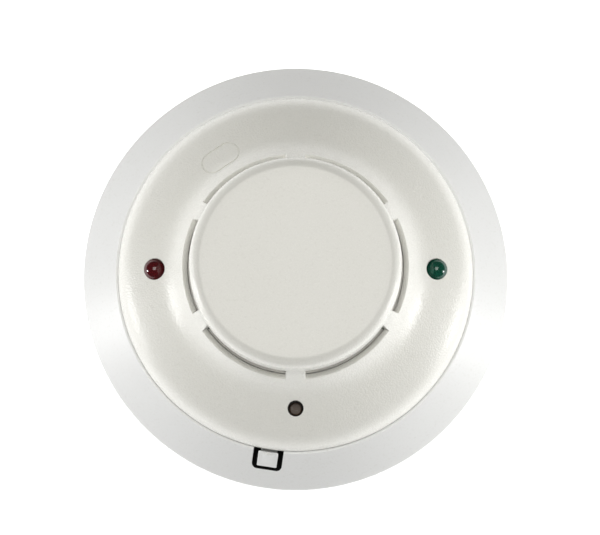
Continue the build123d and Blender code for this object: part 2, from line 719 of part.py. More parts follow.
def cap():
    """Raised round cap with a rounded edge."""
    outer = outline(
        (0, CAP_BOTTOM),
        (CAP_RADIUS + CAP_DRAFT, CAP_BOTTOM),
        (CAP_RADIUS, TOTAL_HEIGHT),
        (0, TOTAL_HEIGHT),
    )
    inner_radius = CAP_RADIUS - CAP_THICKNESS
    inner_top = TOTAL_HEIGHT - CAP_THICKNESS
    inner = outline(
        (0, CAP_BOTTOM - THROUGH),
        (inner_radius, CAP_BOTTOM - THROUGH),
        (inner_radius, inner_top),
        (0, inner_top),
    )
    outer = fillet(upper_outer_corner(outer), CAP_CORNER)
    inner = fillet(upper_outer_corner(inner), CAP_CORNER - CAP_THICKNESS)
    return turned(outer) - turned(inner)


def cover_ribs():
    """Six ribs that carry the cap on the collar, wider at their feet."""
    top_radius = CAP_RADIUS - 0.6
    climb = tan(radians(COVER_CURVE[-1][2]))
    top_height = COLLAR_HEIGHT + (COLLAR_RADIUS - top_radius) * climb
    inner_radius, inner_height = inset(COVER_CURVE[-1])
    inner_top_radius = CAP_RADIUS - 1.6
    inner_top = inner_height + (inner_radius - inner_top_radius) * climb
    band = turned(
        outline(
            (COLLAR_RADIUS + 0.3, COLLAR_HEIGHT - 0.6),
            (COLLAR_RADIUS, COLLAR_HEIGHT),
            (top_radius, top_height),
            (inner_top_radius, top_height),
            (inner_top_radius, inner_top),
            (inner_radius, inner_height),
            (inner_radius + 0.6, inner_height - 0.5),
        )
    )
    section = Plane.YZ * outline(
        (-RIB_TOP_WIDTH / 2, top_height + 0.5),
        (RIB_TOP_WIDTH / 2, top_height + 0.5),
        (RIB_FOOT_WIDTH / 2, inner_height - 1.0),
        (-RIB_FOOT_WIDTH / 2, inner_height - 1.0),
    )
    wedge = Pos(30, 0, 0) * extrude(section, 15)
    return [band & (Rot(0, 0, angle) * wedge) for angle in RIB_ANGLES]


def insert_outline():
    """Shallow groove that follows a mould insert's edge on the plateau."""
    band = turned(
        make_face(
            [
                outer_curve(-EMBED),
                Line(inset(COVER_CURVE[-1], -EMBED), inset(COVER_CURVE[-1], INSERT_DEPTH)),
                outer_curve(INSERT_DEPTH),
                Line(inset(COVER_CURVE[0], INSERT_DEPTH), inset(COVER_CURVE[0], -EMBED)),
            ]
        )
    )
    length, width = INSERT_SIZE
    slot = SlotOverall(length, width) - SlotOverall(length - INSERT_GROOVE, width - INSERT_GROOVE)
    upright = Rot(0, 0, 90) * extrude(slot, TOTAL_HEIGHT)
    tool = Rot(0, 0, INSERT_ANGLE) * Pos(INSERT_RADIUS, 0, 0) * upright
    return band & tool


def outer_cover():
    """The whole outside of the head in one moulding."""
    cover = cover_shell() + cap() + cover_ribs()
    limit = under_cover()
    lens_boss = rod(LENS_RADIUS + LENS_BOSS_WALL, LENS_BOSS_BOTTOM, COLLAR_HEIGHT)
    cover += [(Pos(side * LENS_AXIS, 0, 0) * lens_boss) & limit for side in (-1, 1)]
    hole_boss = rod(HOLE_BOSS_RADIUS, HOLE_BOSS_BOTTOM, COLLAR_HEIGHT)
    cover += (Pos(0, -HOLE_AXIS, 0) * hole_boss) & limit
    lens_hole = rod(LENS_RADIUS + 0.05, LENS_BOSS_BOTTOM - THROUGH, COLLAR_HEIGHT)
    lens_hole += rod(LENS_RADIUS + LENS_RECESS, LENS_SEAT, COLLAR_HEIGHT)
    cover -= [Pos(side * LENS_AXIS, 0, 0) * lens_hole for side in (-1, 1)]
    test_hole = rod(HOLE_RADIUS, HOLE_BOSS_BOTTOM - THROUGH, COLLAR_HEIGHT)
    cover -= Pos(0, -HOLE_AXIS, 0) * test_hole
    cover -= insert_outline()
    return cover - end_notches()


def lens(side):
    """Domed lens with a flange behind the cover."""
    flange_radius = LENS_RADIUS + LENS_FLANGE
    top = (0, LENS_SEAT + DOME_HEIGHT)
    rim = (LENS_RADIUS, LENS_SEAT)
    side_points = [
        (0, LENS_BOTTOM),
        (flange_radius, LENS_BOTTOM),
        (flange_radius, LENS_BOSS_BOTTOM),
        (LENS_RADIUS, LENS_BOSS_BOTTOM),
    ]
    section = make_face([Polyline(top, *side_points, rim), TangentArc(top, rim, tangent=(1, 0))])
    return Pos(side * LENS_AXIS, 0, 0) * turned(section)


def rating_label():
    """Blank label under the chassis floor."""
    sheet = RectangleRounded(*LABEL_SIZE, 2.0)
    return Pos(0, 0, CHASSIS_FLOOR - LABEL_THICKNESS) * extrude(sheet, LABEL_THICKNESS)


save(mounting_base(), "mounting_base")
save(tamper_lever(), "tamper_lever")
for number, angle in enumerate(TERMINAL_ANGLES, start=1):
    save(Rot(0, 0, angle) * contact_strip(), f"contact_strip_{number}")
    save(Rot(0, 0, angle) * clamp_plate(), f"clamp_plate_{number}")
    save(Rot(0, 0, angle) * contact_blade(), f"contact_blade_{number}")
save(terminal_screws(), "terminal_screws")
save(jumper_spring(), "jumper_spring")
save(head_chassis(), "head_chassis")
save(blade_screws(), "blade_screws")
save(circuit_board(), "circuit_board")
save(board_screws(), "board_screws")
save(Pos(*CONTROLLER_PLACE, 0) * leaded_chip(8.7, 3.9, 1.5, 7, 1.27), "controller_ic")
save(Pos(*RECTIFIER_PLACE, 0) * Rot(0, 0, 90) * leaded_chip(8.0, 6.2, 2.6, 2, 5.0), "bridge_rectifier")
save(Pos(*THYRISTOR_PLACE, 0) * leaded_chip(6.5, 3.5, 1.7, 3, 2.3), "alarm_thyristor")
save(filter_capacitor(), "filter_capacitor")
save(surge_suppressor(), "surge_suppressor")
save(chip_resistors(), "chip_resistors")
save(Pos(-LENS_AXIS, 0, 0) * lamp(), "red_led")
save(Pos(LENS_AXIS, 0, 0) * lamp(), "green_led")
save(Pos(*REFERENCE_PLACE, BOARD_TOP) * extrude(Circle(1.6), 2.2), "reference_thermistor")
save(thermistor_bead(), "thermistor_bead")
save(thermistor_leads(), "thermistor_leads")
save(thermistor_post(), "thermistor_post")
save(air_grille(), "air_grille")
save(grille_screws(), "grille_screws")
save(test_switch_body(), "test_switch_body")
save(test_plunger(), "test_plunger")
save(outer_cover(), "outer_cover")
save(lens(-1), "red_lens")
save(lens(1), "green_lens")
save(rating_label(), "rating_label")
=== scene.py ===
# %% [markdown]
# # A plug-in heat detector
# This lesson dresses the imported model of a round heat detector. The detector is a flanged base,
# which is screwed to a ceiling box, and a vented head, which twists onto it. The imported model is
# the fixed frame: it has the true sizes, the screws, the terminals and the moving parts. The
# pieces that the eye meets first are modelled again here as clean meshes with softened edges,
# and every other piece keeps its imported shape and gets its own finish.

# %% Load the frame
import bmesh
import bpy
import json
from math import asin, atan2, cos, degrees, hypot, pi, radians, sin
from mathutils import Matrix, Vector
from mathutils.geometry import interpolate_bezier


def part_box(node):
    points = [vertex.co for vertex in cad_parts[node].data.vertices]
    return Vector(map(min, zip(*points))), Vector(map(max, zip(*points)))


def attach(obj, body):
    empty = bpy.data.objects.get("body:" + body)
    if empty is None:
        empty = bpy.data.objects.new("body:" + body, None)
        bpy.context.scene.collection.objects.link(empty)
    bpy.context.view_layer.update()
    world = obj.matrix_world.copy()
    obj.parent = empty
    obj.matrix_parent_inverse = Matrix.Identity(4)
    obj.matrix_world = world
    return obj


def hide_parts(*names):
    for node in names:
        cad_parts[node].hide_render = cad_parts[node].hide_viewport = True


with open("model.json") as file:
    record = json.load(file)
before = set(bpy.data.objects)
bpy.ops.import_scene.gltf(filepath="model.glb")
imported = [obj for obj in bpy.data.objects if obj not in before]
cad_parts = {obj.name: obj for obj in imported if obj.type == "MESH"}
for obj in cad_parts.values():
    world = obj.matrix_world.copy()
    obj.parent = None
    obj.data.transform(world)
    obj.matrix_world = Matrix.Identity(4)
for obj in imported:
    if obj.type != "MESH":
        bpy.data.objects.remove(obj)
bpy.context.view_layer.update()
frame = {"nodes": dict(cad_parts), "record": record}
for material in list(bpy.data.materials):
    bpy.data.materials.remove(material)
MM = 0.001

# %% [markdown]
# ## Measures
# The places come from the frame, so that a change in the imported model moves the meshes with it.
# The cover's curve is written down once, as knots with a radius, a height and a slope. A moulder
# would read the same figures off the drawing of the tool.

# %% Measures of the cover, in millimetres
cover_low, cover_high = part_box("outer_cover")
lens_low, lens_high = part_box("green_lens")
plunger_low, plunger_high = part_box("test_plunger")
SKIRT_RADIUS = cover_high.x / MM + 0.2
SKIRT_BOTTOM = cover_low.z / MM
CAP_TOP = cover_high.z / MM
SEAM_HEIGHT = 14.0
SKIRT_INNER = 61.7
WALL = 2.2
COVER_KNOTS = (
    (58.0, 23.6, 30.4),
    (52.0, 26.7, 25.0),
    (47.0, 29.0, 27.0),
    (43.0, 32.1, 46.0),
    (39.4, 37.0, 56.0),
)
COLLAR_RADIUS, COLLAR_HEIGHT, COLLAR_SLOPE = COVER_KNOTS[-1]
CAP_FOOT_RADIUS = 36.8
CAP_FOOT_HEIGHT = 39.0
CAP_RADIUS = 36.4
CAP_CORNER = 4.0
CAP_WALL = 2.0
RIB_TOP_RADIUS = 36.74
RIB_TOP_HEIGHT = 40.9
STEPS = 240
LENS_AXIS = (lens_low.x + lens_high.x) / 2 / MM
HOLE_AXIS = -(plunger_low.y + plunger_high.y) / 2 / MM
print("lens axis", round(LENS_AXIS, 2), "test hole axis", round(HOLE_AXIS, 2), "mm")

# %% [markdown]
# ## From a drawn line to a turned skin
# Turned work starts as half of a section. `spin` carries that line round the axis in equal
# steps. With `use_merge` the last step lands on the first, so the seam is closed, and
# `remove_doubles` gathers the points at the pole into one.


# %% Helpers for turned shapes
def curve(start, start_slope, end, end_slope, pull, steps):
    """Points of one smooth stretch between two knots, with its slope in degrees at each end."""
    away = Vector((-cos(radians(start_slope)), sin(radians(start_slope))))
    back = Vector((cos(radians(end_slope)), -sin(radians(end_slope))))
    reach = (Vector(end) - Vector(start)).length * pull
    return interpolate_bezier(
        start,
        Vector(start) + away * reach,
        Vector(end) + back * reach,
        end,
        steps,
    )


def inset_knot(knot, depth):
    """A knot moved into the wall at right angles to its slope."""
    radius, height, slope = knot
    shift_in, shift_down = sin(radians(slope)) * depth, cos(radians(slope)) * depth
    return (radius - shift_in, height - shift_down, slope)


def cover_line(start_radius, depth):
    """The line from the seam over the shoulder and plateau to the collar's edge."""
    knots = [inset_knot(knot, depth) for knot in COVER_KNOTS]
    first = knots[0]
    line = list(curve((start_radius, SEAM_HEIGHT), 90, first[:2], first[2], 0.357, 12))
    for low, high in zip(knots, knots[1:]):
        line += curve(low[:2], low[2], high[:2], high[2], 0.34, 7)[1:]
    return [tuple(point)[:2] for point in line]


def turn(bm, line, steps=STEPS, place=(0, 0)):
    """Spin a line of radius and height, in millimetres, about an upright axis. Returns its faces."""
    x, y = place
    before = set(bm.faces)
    points = [bm.verts.new(((x + radius) * MM, y * MM, height * MM)) for radius, height in line]
    edges = [bm.edges.new(pair) for pair in zip(points, points[1:])]
    bmesh.ops.spin(
        bm,
        geom=points + edges,
        cent=(x * MM, y * MM, 0),
        axis=(0, 0, 1),
        angle=2 * pi,
        steps=steps,
        use_merge=True,
    )
    faces = [face for face in bm.faces if face not in before]
    verts = list({vert for face in faces for vert in face.verts})
    bmesh.ops.remove_doubles(bm, verts=verts, dist=0.001 * MM)
    return [face for face in bm.faces if face not in before]


outside_line = cover_line(SKIRT_RADIUS, 0)
inside_line = cover_line(SKIRT_INNER, WALL)
print("points from seam to collar", len(outside_line), "outside and", len(inside_line), "inside")


# %% [markdown]
# ## Height of the skin
# The lens holes, the test hole and the insert's witness line are cut into a skin that curves.
# New points are set on it with one question: how high is the skin at this radius? The answer is
# read off the same line that was turned, so the cuts leave no dent around them.


# %% Height of the skin at a radius
def height_on(line, radius):
    """Height of a turned line at a radius, both in millimetres."""
    for (outer, low), (inner, high) in zip(line, line[1:]):
        if inner <= radius <= outer:
            return low + (high - low) * (outer - radius) / (outer - inner)
    return line[-1][1]


def settle(verts, line, depth=0.0):
    """Set points on the skin, or at a depth under it."""
    for vert in verts:
        vert.co.z = (height_on(line, hypot(vert.co.x, vert.co.y) / MM) - depth) * MM


print("skin height at the lens axis", round(height_on(outside_line, LENS_AXIS), 2), "mm")


# %% [markdown]
# ## Opening the skin
# A round hole in a turned skin could be cut with a boolean, which leaves slivers. Here the
# squares around the hole are deleted, and `bridge_loops` joins what is left to a clean ring.
# The gap is kept small, so the bridge lies on the curve.


# %% Helpers that open the skin
def polar_gap(point, radius, angle):
    """How far a point is from a place on the skin, outwards and sideways, in millimetres."""
    around = degrees(atan2(point.y, point.x)) - angle
    around = (around + 180) % 360 - 180
    return abs(hypot(point.x, point.y) / MM - radius), abs(radians(around)) * radius


def clear_patch(bm, faces, radius, angle, reach_out, reach_side):
    """Delete the squares about a place, and return the edges round the gap."""
    doomed = []
    for face in faces:
        out, side = polar_gap(face.calc_center_median(), radius, angle)
        if out < reach_out and side < reach_side:
            doomed.append(face)
    marked = set(doomed)
    rim = {edge for face in doomed for edge in face.edges}
    rim = [edge for edge in rim if any(face not in marked for face in edge.link_faces)]
    bmesh.ops.delete(bm, geom=doomed, context="FACES")
    return rim


def loop_edges(verts):
    """The edges that join a ring of points."""
    ring = set(verts)
    return list({edge for vert in verts for edge in vert.link_edges if edge.other_vert(vert) in ring})


def oblong_point(share, width, straight):
    """Point at a share of the way round an outline with two straight sides and round ends."""
    radius = width / 2
    half_way = straight + pi * radius
    way = share * 2 * half_way
    side = 1
    if way >= half_way:
        way -= half_way
        side = -1
    if way <= straight:
        return side * radius, side * (way - straight / 2)
    turned = (way - straight) / radius
    return side * radius * cos(turned), side * (straight / 2 + radius * sin(turned))


def oblong_ring(bm, radius, angle, length, width, segments=48):
    """Ring at a place on the skin: round, or long with round ends when its length is greater."""
    turn_to_place = Matrix.Rotation(radians(angle), 4, "Z") @ Matrix.Translation((radius * MM, 0, 0))
    ring = bmesh.ops.create_circle(bm, segments=segments, radius=width / 2 * MM)["verts"]
    for index, vert in enumerate(ring):
        x, y = oblong_point(index / segments, width, length - width)
        vert.co = turn_to_place @ Vector((x * MM, y * MM, 0))
    return ring


def join_rim(bm, rim, ring):
    """Bridge the edges round a gap to a ring."""
    bmesh.ops.bridge_loops(bm, edges=rim + loop_edges(ring))


def sink(bm, ring, radius, angle, new_radius, height):
    """Pull a new ring out of a round one, at another radius and height."""
    before = set(bm.verts)
    bmesh.ops.extrude_edge_only(bm, edges=loop_edges(ring))
    fresh = [vert for vert in bm.verts if vert not in before]
    centre = Matrix.Rotation(radians(angle), 3, "Z") @ Vector((radius * MM, 0, 0))
    for vert in fresh:
        flat = Vector((vert.co.x - centre.x, vert.co.y - centre.y, 0)).normalized() * new_radius * MM
        vert.co = Vector((centre.x + flat.x, centre.y + flat.y, height * MM))
    return fresh


def bore(bm, skins, radius, angle, rings, boss_radius):
    """A round hole with a boss behind it: rings lists the bore's radii and heights, top first."""
    (outer_faces, outer_line), (inner_faces, inner_line) = skins
    mouth = rings[0][0]
    reach = mouth + 1.0
    rim = clear_patch(bm, outer_faces, radius, angle, reach, reach)
    ring = oblong_ring(bm, radius, angle, 2 * mouth, 2 * mouth)
    settle(ring, outer_line)
    join_rim(bm, rim, ring)
    for new_radius, height in rings:
        ring = sink(bm, ring, radius, angle, new_radius, height)
    foot = sink(bm, ring, radius, angle, boss_radius, rings[-1][1])
    rim = clear_patch(bm, inner_faces, radius, angle, boss_radius + 1.0, boss_radius + 1.0)
    top = oblong_ring(bm, radius, angle, 2 * boss_radius, 2 * boss_radius)
    settle(top, inner_line)
    join_rim(bm, rim, top)
    bmesh.ops.bridge_loops(bm, edges=loop_edges(foot) + loop_edges(top))


print("helpers ready for", STEPS, "steps of", 360 / STEPS, "degrees")


# %% [markdown]
# ## Finishing a piece
# Every piece ends the same way: normals outwards, smooth faces with the hard corners marked
# sharp, a mesh at the origin, and then its body and its material, while the imported nodes it
# replaces are hidden.


# %% Helpers that finish a piece
def soften(bm, wanted, width, segments=2):
    """Round the sharp edges that a test picks, by a width in millimetres."""
    edges = [edge for edge in bm.edges if len(edge.link_faces) == 2 and wanted(edge)]
    bmesh.ops.bevel(
        bm,
        geom=edges,
        offset=width * MM,
        offset_type="OFFSET",
        segments=segments,
        profile=0.5,
        affect="EDGES",
        clamp_overlap=True,
        material=-1,
    )
    return len(edges)


def finish_piece(bm, name, material, body, slot, *nodes, sharp=38):
    """Turn a finished bmesh into a piece that rides on its body, and hide the nodes it replaces."""
    bmesh.ops.recalc_face_normals(bm, faces=bm.faces)
    for face in bm.faces:
        face.smooth = True
    for edge in bm.edges:
        edge.smooth = len(edge.link_faces) == 2 and edge.calc_face_angle(0) < radians(sharp)
    open_edges = sum(1 for edge in bm.edges if len(edge.link_faces) != 2)
    mesh = bpy.data.meshes.new(name)
    bm.to_mesh(mesh)
    print(
        name,
        len(bm.faces),
        "faces",
        open_edges,
        "open edges",
        round(bm.calc_volume() * 1e9),
        "mm3",
    )
    bm.free()
    piece = bpy.data.objects.new(name, mesh)
    bpy.context.scene.collection.objects.link(piece)
    mesh.materials.append(material)
    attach(piece, body)
    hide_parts(*nodes)
    return piece


# %% [markdown]
# ## Node groups that several finishes share
# `mould_grain` is the fine pebble that a spark-eroded tool leaves on plastic. `surface_age` is
# what years on a ceiling add: a faint cloud of dust and a slight change of shade. `drawn_metal`
# is the streak that rolling or drawing leaves. Each is built once and placed with its own values.


# %% A helper for groups and nodes
def new_group(name, inputs, outputs):
    """Empty shader group with number inputs and number outputs."""
    group = bpy.data.node_groups.new(name, "ShaderNodeTree")
    for label, value in inputs.items():
        input_socket = group.interface.new_socket(
            label,
            in_out="INPUT",
            socket_type="NodeSocketFloat",
        )
        input_socket.default_value = value
    for label in outputs:
        group.interface.new_socket(label, in_out="OUTPUT", socket_type="NodeSocketFloat")
    return group, group.nodes.new("NodeGroupInput"), group.nodes.new("NodeGroupOutput")


def add(tree, kind, links=(), **settings):
    """Add a node, set its values and feed its inputs from other sockets."""
    node = tree.nodes.new(kind)
    for label, value in settings.items():
        setattr(node, label, value)
    for label, source in dict(links).items():
        if isinstance(source, bpy.types.NodeSocket):
            tree.links.new(source, node.inputs[label])
        else:
            node.inputs[label].default_value = source
    return node


def maths(tree, operation, first, second=0.0):
    """Result socket of a sum on two numbers or sockets."""
    return add(tree, "ShaderNodeMath", {0: first, 1: second}, operation=operation).outputs[0]


def scaled_place(tree, scale):
    """Object coordinates times a scale socket or a number."""
    place = add(tree, "ShaderNodeTexCoord").outputs["Object"]
    return add(tree, "ShaderNodeVectorMath", {0: place, "Scale": scale}, operation="SCALE").outputs[0]


# %% Mould grain
def mould_grain_group():
    """Pebbled height: round cells with a finer noise over them. Size is in millimetres."""
    group, given, result = new_group("mould_grain", {"Size": 0.6, "Fine": 0.4}, ("Height", "Gloss"))
    frequency = maths(group, "DIVIDE", 1000.0, given.outputs["Size"])
    place = scaled_place(group, frequency)
    cells = add(
        group,
        "ShaderNodeTexVoronoi",
        {"Vector": place, "Scale": 1.0, "Randomness": 1.0},
        feature="SMOOTH_F1",
    )
    noise = add(
        group,
        "ShaderNodeTexNoise",
        {"Vector": place, "Scale": 1.7, "Detail": 3.0, "Roughness": 0.6},
    )
    fine = maths(group, "MULTIPLY", noise.outputs["Fac"], given.outputs["Fine"])
    group.links.new(maths(group, "ADD", cells.outputs["Distance"], fine), result.inputs["Height"])
    group.links.new(noise.outputs["Fac"], result.inputs["Gloss"])
    return group


mould_grain = mould_grain_group()
print("group", mould_grain.name)


# %% Surface age
def surface_age_group():
    """Cloudy mask for shade and a broken mask for dust, both from 0 to 1. Size is in millimetres."""
    group, given, result = new_group("surface_age", {"Size": 22.0}, ("Cloud", "Dust"))
    frequency = maths(group, "DIVIDE", 1000.0, given.outputs["Size"])
    place = scaled_place(group, frequency)
    cloud = add(
        group,
        "ShaderNodeTexNoise",
        {"Vector": place, "Scale": 1.0, "Detail": 4.0, "Roughness": 0.55},
    )
    specks = add(
        group,
        "ShaderNodeTexNoise",
        {"Vector": place, "Scale": 26.0, "Detail": 2.0, "Roughness": 0.5},
    )
    spread = add(
        group,
        "ShaderNodeMapRange",
        {"Value": specks.outputs["Fac"], "From Min": 0.56, "From Max": 0.74},
    )
    dust = maths(group, "MULTIPLY", spread.outputs["Result"], cloud.outputs["Fac"])
    group.links.new(cloud.outputs["Fac"], result.inputs["Cloud"])
    group.links.new(dust, result.inputs["Dust"])
    return group


surface_age = surface_age_group()
print("group", surface_age.name)


# %% Drawn metal
def drawn_metal_group():
    """Streaks along X, as rolling leaves them, and blotches of tarnish. Size is in millimetres."""
    group, given, result = new_group("drawn_metal", {"Size": 0.25}, ("Streak", "Tarnish"))
    frequency = maths(group, "DIVIDE", 1000.0, given.outputs["Size"])
    place = scaled_place(group, frequency)
    drawn = add(group, "ShaderNodeMapping", {"Vector": place, "Scale": (0.04, 1.0, 1.0)})
    streak = add(
        group,
        "ShaderNodeTexNoise",
        {"Vector": drawn.outputs[0], "Scale": 1.0, "Detail": 3.0},
    )
    blotch = add(group, "ShaderNodeTexNoise", {"Vector": place, "Scale": 0.08, "Detail": 4.0})
    group.links.new(streak.outputs["Fac"], result.inputs["Streak"])
    group.links.new(blotch.outputs["Fac"], result.inputs["Tarnish"])
    return group


drawn_metal = drawn_metal_group()
print("group", drawn_metal.name)

# %% [markdown]
# ## Moulded plastics
# All the shells are injection moulded. What tells one moulding from the next is the tool's
# surface and the resin: the cover has a coarse spark-eroded pebble that breaks the light into
# specks on its rounded edges, the base was polished, and the hidden parts are plain satin.


# %% Moulded plastic
def shader(name):
    """New material, its node tree and its Principled BSDF."""
    material = bpy.data.materials.new(name)
    material.use_nodes = True
    return material, material.node_tree, material.node_tree.nodes["Principled BSDF"]


def grouped(tree, group, **values):
    """Place a shared group in a material with its own values."""
    node = tree.nodes.new("ShaderNodeGroup")
    node.node_tree = group
    for label, value in values.items():
        node.inputs[label].default_value = value
    return node


def mix_colour(tree, factor, first, second):
    """Colour socket that blends two colours by a mask."""
    links = {"Factor": factor}
    node = add(tree, "ShaderNodeMix", links, data_type="RGBA")
    for label, value in (("A", first), ("B", second)):
        socket = next(s for s in node.inputs if s.name == label and s.type == "RGBA")
        if isinstance(value, bpy.types.NodeSocket):
            tree.links.new(value, socket)
        else:
            socket.default_value = (*value, 1)
    return next(s for s in node.outputs if s.type == "RGBA")


def spread(tree, value, low, high):
    """Number socket that runs from low to high as a mask runs over its middle."""
    links = {"Value": value, "From Min": 0.3, "From Max": 0.7, "To Min": low, "To Max": high}
    return add(tree, "ShaderNodeMapRange", links).outputs["Result"]


def fade_above(tree, height, value):
    """Value that falls to a quarter on faces above a height in millimetres."""
    place = add(tree, "ShaderNodeTexCoord").outputs["Object"]
    level = add(tree, "ShaderNodeSeparateXYZ", {"Vector": place}).outputs["Z"]
    links = {
        "Value": level,
        "From Min": (height - 1.2) * MM,
        "From Max": height * MM,
        "To Min": 1.0,
        "To Max": 0.25,
    }
    return maths(tree, "MULTIPLY", add(tree, "ShaderNodeMapRange", links).outputs["Result"], value)


def moulded(
    name,
    colour,
    shade,
    grain_size,
    grain_depth,
    roughness,
    gloss_range,
    fine=0.4,
    smooth_above=90.0,
):
    """Injection-moulded plastic. Colour drifts to shade, and grain sizes are in millimetres."""
    material, tree, bsdf = shader(name)
    grain = grouped(tree, mould_grain, Size=grain_size, Fine=fine)
    age = grouped(tree, surface_age, Size=24.0)
    base = mix_colour(tree, age.outputs["Cloud"], colour, shade)
    dusty = mix_colour(
        tree,
        maths(tree, "MULTIPLY", age.outputs["Dust"], 0.25),
        base,
        (0.55, 0.53, 0.48),
    )
    tree.links.new(dusty, bsdf.inputs["Base Color"])
    low, high = roughness - gloss_range, roughness + gloss_range
    tree.links.new(spread(tree, grain.outputs["Gloss"], low, high), bsdf.inputs["Roughness"])
    height = fade_above(tree, smooth_above, grain.outputs["Height"])
    links = {"Height": height, "Distance": grain_depth * MM, "Strength": 1.0}
    bump = add(tree, "ShaderNodeBump", links)
    tree.links.new(bump.outputs["Normal"], bsdf.inputs["Normal"])
    bsdf.inputs["IOR"].default_value = 1.5
    return material


cover_plastic = moulded(
    "cover_plastic",
    (0.845, 0.84, 0.80),
    (0.82, 0.815, 0.77),
    0.55,
    0.10,
    0.25,
    0.06,
    0.5,
    CAP_TOP,
)
base_plastic = moulded(
    "base_plastic",
    (0.83, 0.835, 0.835),
    (0.80, 0.805, 0.80),
    0.5,
    0.02,
    0.4,
    0.05,
)
chassis_plastic = moulded(
    "chassis_plastic",
    (0.76, 0.76, 0.73),
    (0.72, 0.72, 0.69),
    0.5,
    0.012,
    0.5,
    0.05,
)
grille_plastic = moulded(
    "grille_plastic",
    (0.86, 0.84, 0.80),
    (0.82, 0.80, 0.76),
    0.4,
    0.01,
    0.5,
    0.05,
)
switch_black = moulded(
    "switch_black",
    (0.03, 0.03, 0.032),
    (0.05, 0.05, 0.05),
    0.3,
    0.01,
    0.45,
    0.06,
)
plunger_brown = moulded(
    "plunger_brown",
    (0.045, 0.026, 0.015),
    (0.075, 0.045, 0.028),
    0.3,
    0.02,
    0.5,
    0.08,
)
print("plastics", 6)

# %% [markdown]
# ## Metals
# The strips and blades are rolled brass, which tarnishes in blotches. Screws and clamp plates are
# zinc plated, the jumper is hard drawn wire, and the leads are tinned. One recipe makes them
# all: a streak along the drawn direction sets the gloss, and a slow noise darkens the colour.


# %% Metals
def metal(name, colour, tarnish, roughness, streak_size):
    """Worked metal. Colour goes over to tarnish in blotches, and streak_size is in millimetres."""
    material, tree, bsdf = shader(name)
    drawn = grouped(tree, drawn_metal, Size=streak_size)
    shade = mix_colour(tree, spread(tree, drawn.outputs["Tarnish"], 0.0, 0.8), colour, tarnish)
    tree.links.new(shade, bsdf.inputs["Base Color"])
    gloss = spread(tree, drawn.outputs["Streak"], roughness - 0.08, roughness + 0.1)
    tree.links.new(gloss, bsdf.inputs["Roughness"])
    links = {"Height": drawn.outputs["Streak"], "Distance": 0.004 * MM, "Strength": 1.0}
    bump = add(tree, "ShaderNodeBump", links)
    tree.links.new(bump.outputs["Normal"], bsdf.inputs["Normal"])
    bsdf.inputs["Metallic"].default_value = 1.0
    return material


strip_brass = metal("strip_brass", (0.80, 0.60, 0.28), (0.52, 0.36, 0.16), 0.34, 0.3)
zinc_steel = metal("zinc_steel", (0.66, 0.67, 0.68), (0.48, 0.49, 0.47), 0.36, 0.4)
spring_steel = metal("spring_steel", (0.56, 0.56, 0.55), (0.36, 0.35, 0.33), 0.3, 0.15)
capacitor_can = metal("capacitor_can", (0.77, 0.77, 0.78), (0.66, 0.66, 0.66), 0.24, 0.2)
tinned_wire = metal("tinned_wire", (0.72, 0.72, 0.71), (0.5, 0.5, 0.48), 0.32, 0.1)
print("metals", 5)

# %% [markdown]
# ## The circuit's finishes
# Solder mask lies over copper tracks, so the board shows two greens and soft steps where the
# tracks run. The parts on it are black epoxy, dark ceramic, dipped lacquer and a glass bead.


# %% Circuit board and its parts
def laminate(name):
    """Green solder mask that is lighter over square-cornered copper tracks."""
    material, tree, bsdf = shader(name)
    place = scaled_place(tree, 1 / (2.4 * MM))
    tracks = add(
        tree,
        "ShaderNodeTexVoronoi",
        {"Vector": place, "Scale": 1.0},
        distance="CHEBYCHEV",
    )
    weave = grouped(tree, mould_grain, Size=0.35, Fine=0.6)
    links = {"Value": tracks.outputs["Distance"], "From Min": 0.36, "From Max": 0.4}
    copper = add(tree, "ShaderNodeMapRange", links).outputs["Result"]
    colour = mix_colour(tree, copper, (0.03, 0.17, 0.075), (0.05, 0.26, 0.12))
    tree.links.new(colour, bsdf.inputs["Base Color"])
    tree.links.new(spread(tree, weave.outputs["Gloss"], 0.28, 0.42), bsdf.inputs["Roughness"])
    bump = add(tree, "ShaderNodeBump", {"Height": copper, "Distance": 0.03 * MM, "Strength": 1.0})
    tree.links.new(bump.outputs["Normal"], bsdf.inputs["Normal"])
    return material


def dipped(name, colour, shade, roughness, coat):
    """Dipped or cast resin: a slow drift of colour under a clear, slightly wavy surface."""
    material, tree, bsdf = shader(name)
    age = grouped(tree, surface_age, Size=3.0)
    tree.links.new(mix_colour(tree, age.outputs["Cloud"], colour, shade), bsdf.inputs["Base Color"])
    gloss = spread(tree, age.outputs["Cloud"], roughness * 0.7, roughness * 1.3)
    tree.links.new(gloss, bsdf.inputs["Roughness"])
    bsdf.inputs["Coat Weight"].default_value = coat
    bsdf.inputs["Coat Roughness"].default_value = 0.08
    return material


board_laminate = laminate("board_laminate")
moulded_epoxy = moulded(
    "moulded_epoxy",
    (0.035, 0.035, 0.04),
    (0.055, 0.055, 0.06),
    0.2,
    0.01,
    0.5,
    0.08,
)
resistor_ceramic = moulded(
    "resistor_ceramic",
    (0.05, 0.05, 0.06),
    (0.12, 0.12, 0.13),
    0.2,
    0.01,
    0.3,
    0.08,
)
blue_lacquer = dipped("blue_lacquer", (0.03, 0.15, 0.42), (0.05, 0.22, 0.55), 0.25, 0.6)
red_epoxy = dipped("red_epoxy", (0.5, 0.02, 0.02), (0.6, 0.04, 0.03), 0.2, 0.8)
green_epoxy = dipped("green_epoxy", (0.03, 0.36, 0.15), (0.05, 0.45, 0.2), 0.2, 0.8)
thermistor_glass = dipped("thermistor_glass", (0.05, 0.04, 0.035), (0.12, 0.09, 0.07), 0.18, 0.9)
print("circuit finishes", 7)

# %% [markdown]
# ## Tinted lenses and the label
# Each lens is a light pipe of tinted acrylic. Unlit, it looks nearly black, because light that
# enters it is caught by the boss round its stem. The polished dome throws one small highlight,
# and the haze of fine scratches puts a halo round that.


